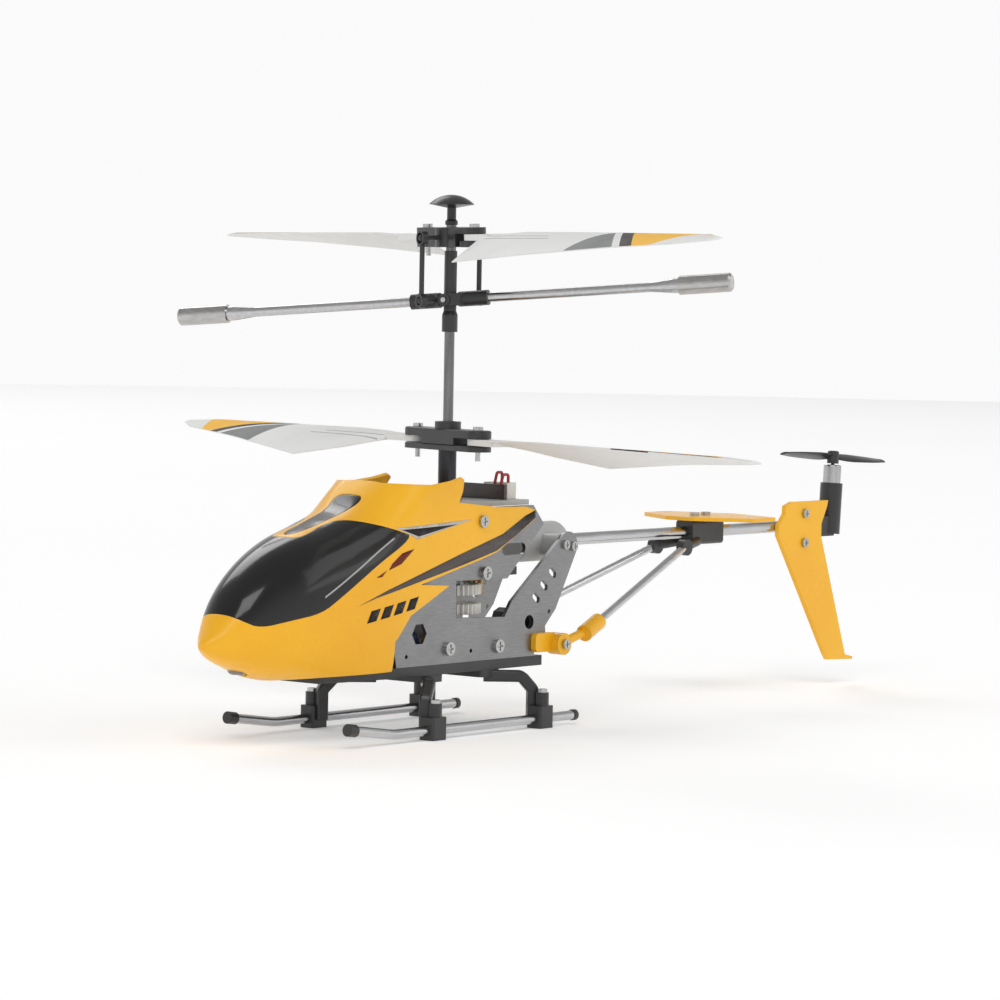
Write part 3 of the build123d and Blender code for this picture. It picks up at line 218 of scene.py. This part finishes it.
def clear_lens():
    """Clear moulded lens with a rippled surface."""
    look = Look("lens_clear", (0.9, 0.93, 0.95), 0.08, coat=0.5)
    look.set("Transmission Weight", 0.85)
    look.set("IOR", 1.49)
    look.bump(look.noise(700, 2), 0.02 * MM, 0.4)
    return look.material


looks["lens_clear"] = clear_lens()


def paint(obj, material):
    """Gives the object that one material."""
    obj.data.materials.clear()
    obj.data.materials.append(material)


for row in frame["record"]["subparts"]:
    paint(nodes[row["node"]], looks[row["material_slot"]])
paint(nodes["inner_shaft"], metal("shaft_steel", (0.22, 0.22, 0.22), (0.13, 0.13, 0.13), 0.25,
                                  (1, 1, 0.06), 1400))


# ---- blade print -------------------------------------------------------------------------------
UPPER_ANGLE, LOWER_ANGLE = 69.5, 75.0
PRINT_SLANT, TIP_SLANT = 1.43, -0.9
BEYOND = 200


class BladePrint(Look):
    """White blade with a generic printed tip panel and hairlines, on its upper face only."""

    def span_and_chord(self, angle, lead):
        """Millimetres out from the shaft, and towards the leading edge, as outputs."""
        a = radians(angle)
        found = []
        for direction in ((cos(a), sin(a), 0), (-sin(a) * lead, cos(a) * lead, 0)):
            moved = self.node("ShaderNodeVectorMath", operation="SUBTRACT")
            moved.inputs[1].default_value = (SHAFT_X, 0, 0)
            self.join(self.coords, moved.inputs[0])
            dot = self.node("ShaderNodeVectorMath", operation="DOT_PRODUCT")
            dot.inputs[1].default_value = [c / MM for c in direction]
            self.join(moved.outputs["Vector"], dot.inputs[0])
            found.append(dot.outputs["Value"])
        return found

    def sums(self, first, factor, second):
        """first + factor * second."""
        made = self.node("ShaderNodeMath", operation="MULTIPLY_ADD")
        made.inputs[1].default_value = factor
        self.join(second, made.inputs[0])
        self.join(first, made.inputs[2])
        return made.outputs["Value"]

    def between(self, value, low, high):
        """1 where low < value < high, with hard edges."""
        made = self.node("ShaderNodeMath", operation="COMPARE")
        made.inputs[1].default_value = (low + high) / 2
        made.inputs[2].default_value = (high - low) / 2
        self.join(value, made.inputs[0])
        return made.outputs["Value"]

    def both(self, *masks):
        """1 where every mask is 1."""
        share = masks[0]
        for mask in masks[1:]:
            made = self.node("ShaderNodeMath", operation="MULTIPLY")
            self.join(share, made.inputs[0])
            self.join(mask, made.inputs[1])
            share = made.outputs["Value"]
        return share


def printed_blade(name, angle, lead):
    """Blade at that angle; lead is 1 or -1, for the side its leading edge is on."""
    look = BladePrint(name, (0.80, 0.80, 0.79), 0.5, specular=0.15)
    span, chord = look.span_and_chord(angle, lead)
    slant = look.sums(span, PRINT_SLANT, chord)
    tip_slant = look.sums(span, TIP_SLANT, chord)
    facing = look.node("ShaderNodeSeparateXYZ")
    look.join(look.node("ShaderNodeTexCoord").outputs["Normal"], facing.inputs[0])
    top = look.between(facing.outputs["Z"], 0.2, 1.5)
    paint_now = look.mix(look.spread(look.noise(60, 3), 0, 1), (0.80, 0.80, 0.79),
                         (0.75, 0.75, 0.74))
    layers = [
        ((0.30, 0.30, 0.30), [look.between(span, 16, 40), look.between(chord, -2.1, -1.75)]),
        ((0.30, 0.30, 0.30), [look.between(span, 19, 43), look.between(chord, -3.9, -3.6)]),
        ((0.20, 0.21, 0.21), [look.between(span, 57, BEYOND), look.between(slant, 0, 60.5)]),
        ((0.03, 0.02, 0.02), [look.between(slant, 63, 68)]),
        ((0.93, 0.50, 0.02), [look.between(slant, 67, BEYOND), look.between(tip_slant, 0, 86.5)]),
        ((0.03, 0.02, 0.02), [look.between(chord, 2.5, BEYOND), look.between(span, 57, 88)]),
    ]
    for color, masks in layers:
        paint_now = look.mix(look.both(top, *masks), paint_now, color)
    look.color(paint_now)
    look.rough(look.spread(look.noise(160, 4), 0.44, 0.56))
    look.bump(look.noise(900, 2), 0.0008 * MM, 0.3)
    return look.material


for row_name, row_angle, row_lead in (("upper_blade", UPPER_ANGLE, 1),
                                      ("lower_blade", LOWER_ANGLE, -1)):
    for half, turn in (("a", 0), ("b", 180)):
        blade_node = f"{row_name}_{half}"
        paint(nodes[blade_node], printed_blade(f"{blade_node}_print", row_angle + turn, row_lead))

# ---- canopy ------------------------------------------------------------------------------------
# ahead of the shaft, half width, top, bottom, squareness of the section (millimetres)
HULL = [(70.2, 0.9, 20.3, 18.8, 2.0), (67.5, 3.6, 23.4, 16.9, 2.1), (63.0, 6.4, 29.8, 15.0, 2.2),
        (57.0, 8.7, 34.9, 12.9, 2.3), (49.0, 10.6, 38.9, 11.5, 2.5), (40.0, 11.6, 41.6, 9.0, 2.7),
        (32.0, 11.9, 44.4, 6.0, 3.0), (26.0, 11.8, 48.9, 5.0, 3.4), (20.0, 11.6, 53.0, 5.0, 3.8),
        (8.0, 11.2, 54.0, 5.0, 4.0), (-4.0, 10.8, 54.0, 5.0, 4.0), (-17.0, 10.2, 54.0, 5.0, 4.0)]
STATIONS, ROUND = 110, 128
NOSE_CROWDING = 1.25
WALL = 0.9
PRISM_REACH = 30
WELD, SLIVER = 0.002, 0.001
SIDEWAYS = "side"


def section(x):
    """Half width, top, bottom and squareness of the canopy's skin, x ahead of the shaft."""
    for index in range(len(HULL) - 2):
        if x >= HULL[index + 1][0]:
            break
    before = HULL[max(index - 1, 0)]
    first, second = HULL[index], HULL[index + 1]
    after = HULL[min(index + 2, len(HULL) - 1)]
    width = second[0] - first[0]
    t = (x - first[0]) / width

    def slope(low, high, column):
        return (high[column] - low[column]) / (high[0] - low[0]) * width

    values = []
    for column in range(1, 5):
        m0 = slope(before, second, column)
        m1 = slope(first, after, column)
        values.append((2 * t ** 3 - 3 * t ** 2 + 1) * first[column] + (t ** 3 - 2 * t ** 2 + t) * m0
                      + (3 * t ** 2 - 2 * t ** 3) * second[column] + (t ** 3 - t ** 2) * m1)
    return values


def skin_point(x, angle):
    """Point of the canopy's skin, angle counted round its section from port."""
    half, top, bottom, power = section(x)
    across, up = cos(angle), sin(angle)
    y = half * copysign(abs(across) ** (2 / power), across)
    z = (top + bottom) / 2 + (top - bottom) / 2 * copysign(abs(up) ** (2 / power), up)
    return at(x, y, z)


def link_mesh(name, shape):
    """Object in the scene from a finished bmesh."""
    mesh = bpy.data.meshes.new(name)
    shape.to_mesh(mesh)
    shape.free()
    made = bpy.data.objects.new(name, mesh)
    bpy.context.scene.collection.objects.link(made)
    return made


def hull_solid():
    """Closed solid that fills the canopy's skin from nose to rear end."""
    shape = bmesh.new()
    front, rear = HULL[0][0], HULL[-1][0]
    rings = []
    for step in range(STATIONS + 1):
        share = step / STATIONS
        x = front + (rear - front) * share ** NOSE_CROWDING
        rings.append([shape.verts.new(skin_point(x, 2 * pi * k / ROUND)) for k in range(ROUND)])
    for first, second in zip(rings, rings[1:]):
        for k in range(ROUND):
            n = (k + 1) % ROUND
            shape.faces.new((first[k], second[k], second[n], first[n]))
    shape.faces.new(rings[0])
    shape.faces.new(list(reversed(rings[-1])))
    bmesh.ops.recalc_face_normals(shape, faces=shape.faces)
    return link_mesh("hull", shape)


def prism(outline, way):
    """Solid over an outline. A side outline runs right across, a plan one from way's low to high z."""
    shape = bmesh.new()
    if way == SIDEWAYS:
        ends = [[shape.verts.new(at(x, y, z)) for x, z in outline]
                for y in (-PRISM_REACH, PRISM_REACH)]
    else:
        ends = [[shape.verts.new(at(x, y, z)) for x, y in outline] for z in way]
    shape.faces.new(ends[0])
    shape.faces.new(list(reversed(ends[1])))
    count = len(outline)
    for k in range(count):
        n = (k + 1) % count
        shape.faces.new((ends[0][k], ends[1][k], ends[1][n], ends[0][n]))
    bmesh.ops.recalc_face_normals(shape, faces=shape.faces)
    return link_mesh("prism", shape)


skin_mark = bpy.data.materials.new("skin_mark")
cut_mark = bpy.data.materials.new("cut_mark")


def apply_all(obj):
    """Turns the object's modifiers into its mesh."""
    bpy.context.view_layer.update()
    graph = bpy.context.evaluated_depsgraph_get()
    mesh = bpy.data.meshes.new_from_object(obj.evaluated_get(graph))
    obj.modifiers.clear()
    obj.data = mesh


def skin_patch(name, keep, cut=()):
    """Open sheet of the canopy's skin, inside the keep prisms and outside the cut ones."""
    patch = hull_solid()
    patch.name = name
    paint(patch, skin_mark)
    tools = []
    for operation, prisms in (("INTERSECT", keep), ("DIFFERENCE", cut)):
        for outline, way in prisms:
            tool = prism(outline, way)
            paint(tool, cut_mark)
            tools.append(tool)
            modifier = patch.modifiers.new("cut", "BOOLEAN")
            modifier.operation = operation
            modifier.solver = "EXACT"
            modifier.material_mode = "TRANSFER"
            modifier.object = tool
            apply_all(patch)
    for tool in tools:
        bpy.data.objects.remove(tool)
    shape = bmesh.new()
    shape.from_mesh(patch.data)
    skin_slot = [k for k, m in enumerate(patch.data.materials) if m == skin_mark][0]
    loose = [f for f in shape.faces if f.material_index != skin_slot]
    ends = [f for f in shape.faces
            if len(f.verts) == ROUND and f.calc_center_median().x < SHAFT_X]
    bmesh.ops.delete(shape, geom=list(set(loose + ends)), context="FACES")
    bmesh.ops.remove_doubles(shape, verts=shape.verts, dist=WELD * MM)
    bmesh.ops.dissolve_degenerate(shape, edges=shape.edges, dist=SLIVER * MM)
    for f in shape.faces:
        f.material_index = 0
        f.smooth = True
    shape.to_mesh(patch.data)
    shape.free()
    return patch


def thicken(patch, thickness, rim, lift=0.0):
    """Gives a sheet its wall, inwards, with a rounded rim."""
    if lift:
        shape = bmesh.new()
        shape.from_mesh(patch.data)
        shape.normal_update()
        for v in shape.verts:
            v.co += v.normal * lift
        shape.to_mesh(patch.data)
        shape.free()
    wall = patch.modifiers.new("wall", "SOLIDIFY")
    wall.thickness = thickness
    wall.offset = -1.0
    wall.use_even_offset = True
    if rim:
        edge = patch.modifiers.new("edge", "BEVEL")
        edge.width = rim
        edge.segments = 3
        edge.limit_method = "ANGLE"
        edge.angle_limit = radians(50)
    apply_all(patch)


def rounded(outline, turns=2):
    """The outline with its corners cut off, a little finer on every turn."""
    for _ in range(turns):
        cut = []
        for (x0, z0), (x1, z1) in zip(outline, outline[1:] + outline[:1]):
            cut.append((0.75 * x0 + 0.25 * x1, 0.75 * z0 + 0.25 * z1))
            cut.append((0.25 * x0 + 0.75 * x1, 0.25 * z0 + 0.75 * z1))
        outline = cut
    return outline


SHELL = [(73.0, 12.3), (73.0, 62.0), (28.0, 62.0), (25.6, 48.9), (17.0, 48.5),
         (11.0, 49.1), (7.4, 49.8), (6.5, 49.2), (7.6, 47.0), (9.2, 44.9), (-2.4, 43.7),
         (-12.4, 43.4), (-15.5, 42.7), (-15.7, 41.0), (-2.6, 34.8), (1.0, 33.9),
         (21.4, 29.5), (12.4, 28.9), (17.6, 26.6), (24.3, 23.7), (28.0, 19.6),
         (28.8, 19.0), (28.8, 13.2), (45.2, 12.8), (56.0, 12.3)]
GLASS = rounded([(74.0, 30.0), (66.4, 25.7), (64.8, 24.3), (62.0, 23.0), (55.8, 24.2),
                 (48.9, 25.3), (44.2, 28.0), (34.7, 33.4), (23.6, 38.8), (26.8, 39.9),
                 (33.2, 41.7), (36.8, 42.3), (41.0, 41.1), (46.9, 39.3), (48.9, 38.9),
                 (54.0, 44.0)])

STRIPE = [(39.5, 26.3), (31.5, 28.9), (21.4, 31.6), (9.0, 34.9), (-4.5, 38.3), (-12.1, 41.6),
          (-15.6, 42.6), (-15.6, 41.1), (-9.0, 37.9), (-2.6, 35.1), (1.0, 34.3), (9.0, 32.6),
          (21.4, 30.2), (34.6, 27.6)]
PANEL = [(26.7, 40.2), (10.4, 40.7), (22.2, 38.8)]
PANEL_EDGE = [(27.9, 40.6), (5.4, 41.5), (22.5, 38.3)]
VENTS = [[(23.5, 36.5), (27.0, 35.8), (30.0, 33.9), (31.0, 32.7), (27.3, 33.8)],
         [(31.5, 32.7), (34.6, 31.4), (33.0, 31.5)]]
BAR_STARTS, BAR_ROW_SLOPE, BAR_ROW_X = (37.2, 33.4, 29.6, 25.8), 0.15, 37
PIN_LINE = [(48.1, 28.1), (48.0, 28.5), (28.7, 38.9), (28.8, 38.5)]
ROOF_HALF = [(48.2, 0.8), (47.0, 2.2), (44.0, 2.7), (38.0, 3.0), (32.5, 3.4), (29.6, 4.3),
             (28.4, 3.6), (28.2, 1.5)]
ROOF_MIDDLE_X, ROOF_HALF_LENGTH = 38.2, 10
ROOF_SPAN = (38.0, 60.0)
LAMP_X, LAMP_HOLE_R, LAMP_SPAN = 60.4, 1.9, (5.0, 17.0)
FILM_THICKNESS, FILM_LIFT, TOP_FILM_LIFT = 0.03, 0.05, 0.09
TAIL_TONE_X, TAIL_TONE_END_X = -6, -13


def bar(x):
    """Slanted bar that starts at x, in a row that climbs to the rear."""
    raised = BAR_ROW_SLOPE * (BAR_ROW_X - x)
    return [(x, 22.9 + raised), (x - 2.6, 23.3 + raised), (x - 3.8, 25.6 + raised),
            (x - 1.2, 25.2 + raised)]


def roof_outline(shrink):
    """The roof strip in plan, pulled in by shrink on both long sides and slightly at the ends."""
    kept = 1 - shrink / ROOF_HALF_LENGTH
    side_points = [(ROOF_MIDDLE_X + (x - ROOF_MIDDLE_X) * kept, y - shrink)
                   for x, y in ROOF_HALF]
    return rounded(side_points + [(x, -y) for x, y in reversed(side_points)])


def decal(name, outlines, material, lift=FILM_LIFT):
    """Thin printed film on the canopy's skin, in as many patches as there are outlines."""
    patches = []
    for outline in outlines:
        patch = skin_patch(name, [(outline, SIDEWAYS)])
        thicken(patch, FILM_THICKNESS * MM, 0, lift * MM)
        patches.append(patch)
    shape = bmesh.new()
    for patch in patches:
        shape.from_mesh(patch.data)
    shape.to_mesh(patches[0].data)
    shape.free()
    for patch in patches[1:]:
        bpy.data.objects.remove(patch)
    patches[0].name = name
    paint(patches[0], material)
    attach(patches[0], "airframe")


def film(name, color, roughness=0.3, metallic=0.0, tail=None):
    """Printed film; tail is its colour at the canopy's rear end."""
    look = Look(name, color, roughness, metallic=metallic, specular=0.2)
    darker = tuple(c * 0.8 for c in color)
    tone = look.mix(look.spread(look.noise(70, 3), 0, 1), color, darker)
    if tail:
        axes = look.node("ShaderNodeSeparateXYZ")
        look.join(look.coords, axes.inputs[0])
        rearward = look.spread(axes.outputs["X"], 0, 1, SHAFT_X + TAIL_TONE_X * MM,
                               SHAFT_X + TAIL_TONE_END_X * MM)
        tone = look.mix(rearward, tone, tail)
    look.color(tone)
    look.rough(look.spread(look.noise(200, 3), roughness * 0.8, roughness * 1.3))
    return look.material


lamp_hole = [(LAMP_X + LAMP_HOLE_R * cos(pi * k / 16), LAMP_HOLE_R * sin(pi * k / 16))
             for k in range(32)]
canopy = skin_patch("canopy_shell", [(SHELL, SIDEWAYS)],
                    [(GLASS, SIDEWAYS), (roof_outline(0.7), ROOF_SPAN), (lamp_hole, LAMP_SPAN)])
thicken(canopy, WALL * MM, 0.18 * MM)
windshield = skin_patch("windshield_panel", [(SHELL, SIDEWAYS), (GLASS, SIDEWAYS)])
thicken(windshield, WALL * MM, 0.2 * MM)
roof = skin_patch("roof_panel", [(SHELL, SIDEWAYS), (roof_outline(0.8), ROOF_SPAN)])
thicken(roof, WALL * MM, 0.1 * MM)
for piece, node, slot in ((canopy, "canopy", "shell_yellow"),
                          (windshield, "windshield", "window_black"),
                          (roof, "roof_window", "window_black")):
    paint(piece, looks[slot])
    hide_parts(node)
    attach(piece, "airframe")

dark_film = film("dark_film", (0.018, 0.015, 0.014))
decal("stripe_film", [STRIPE], film("grey_film", (0.10, 0.085, 0.08), tail=(0.012, 0.011, 0.01)))
decal("panel_edge_film", [PANEL_EDGE], film("silver_film", (0.62, 0.60, 0.56), 0.35, 0.3))
decal("panel_film", [PANEL], dark_film, TOP_FILM_LIFT)
decal("vent_film", VENTS, film("vent_film_red", (0.16, 0.018, 0.008)))
decal("bars_film", [bar(x) for x in BAR_STARTS], dark_film)
decal("pin_line_film", [PIN_LINE], film("pale_film", (0.45, 0.45, 0.44)))


# ---- floor, light and camera -------------------------------------------------------------------
FLOOR_R, FLOOR_DROP = 2.3, 0.05
HORIZON_LIGHT, ZENITH_LIGHT = 0.96, 0.42
FLOOR_GLOW = 0.24


def make_floor():
    """Pale disc just under the skids, with a slight glow that evens it out with the studio."""
    mesh = bpy.data.meshes.new("floor")
    shape = bmesh.new()
    bmesh.ops.create_circle(shape, cap_ends=True, segments=96, radius=FLOOR_R)
    shape.to_mesh(mesh)
    shape.free()
    floor = bpy.data.objects.new("floor", mesh)
    bpy.context.scene.collection.objects.link(floor)
    floor.location = (0, 0, -FLOOR_DROP * MM)
    look = Look("floor", (0.90, 0.90, 0.90), 0.9, specular=0.0)
    look.set("Emission Color", (1.0, 1.0, 1.0, 1.0))
    look.set("Emission Strength", FLOOR_GLOW)
    look.color(look.mix(look.noise(4, 2), (0.90, 0.90, 0.90), (0.88, 0.88, 0.88)))
    paint(floor, look.material)


def softbox(name, place, aim, size, power):
    """Rectangular area light at place, turned to aim."""
    data = bpy.data.lights.new(name, "AREA")
    data.shape = "RECTANGLE"
    data.size, data.size_y = size
    data.energy = power
    lamp = bpy.data.objects.new(name, data)
    bpy.context.scene.collection.objects.link(lamp)
    lamp.location = place
    lamp.rotation_euler = (Vector(aim) - Vector(place)).to_track_quat("-Z", "Y").to_euler()


def make_world():
    """Pale studio all round, brightest at the horizon and dimmer overhead."""
    world = bpy.data.worlds.new("studio")
    bpy.context.scene.world = world
    world.use_nodes = True
    tree = world.node_tree
    background = tree.nodes["Background"]
    background.inputs["Color"].default_value = (1.0, 1.0, 1.0, 1.0)
    direction = tree.nodes.new("ShaderNodeTexCoord")
    axes = tree.nodes.new("ShaderNodeSeparateXYZ")
    tree.links.new(direction.outputs["Generated"], axes.inputs[0])
    level = tree.nodes.new("ShaderNodeMapRange")
    level.inputs["From Min"].default_value = 0.08
    level.inputs["From Max"].default_value = 0.6
    level.inputs["To Min"].default_value = HORIZON_LIGHT
    level.inputs["To Max"].default_value = ZENITH_LIGHT
    tree.links.new(axes.outputs["Z"], level.inputs["Value"])
    tree.links.new(level.outputs["Result"], background.inputs["Strength"])


def make_camera():
    """Camera where the viewer stood: off the port bow, a little above the skids."""
    heading, tilt, roll = radians(51.146), radians(3.0535), radians(1.0444)
    back = Vector((sin(heading) * cos(tilt), cos(heading) * cos(tilt), sin(tilt)))
    right = Vector((-cos(heading), sin(heading), 0))
    up = back.cross(right)
    across = right * cos(roll) + up * sin(roll)
    upward = up * cos(roll) - right * sin(roll)
    data = bpy.data.cameras.new("camera")
    data.lens = 156.18
    data.sensor_width = 36.0
    data.clip_start, data.clip_end = 0.01, 30.0
    camera = bpy.data.objects.new("camera", data)
    bpy.context.scene.collection.objects.link(camera)
    turn = Matrix((across, upward, back)).transposed().to_4x4()
    camera.matrix_world = Matrix.Translation(at(657.8, 543.4, 90.3)) @ turn
    bpy.context.scene.camera = camera


make_floor()
make_world()
middle = at(-30, 0, 50)
softbox("key", at(1500, 1100, 2300), middle, (1.6, 1.1), 23.0)
softbox("fill", at(-1300, 1900, 1300), middle, (1.6, 1.6), 8.5)
softbox("rim", at(-900, -2000, 1900), middle, (1.6, 1.0), 15.0)
make_camera()
bpy.context.scene.view_settings.view_transform = "Standard"
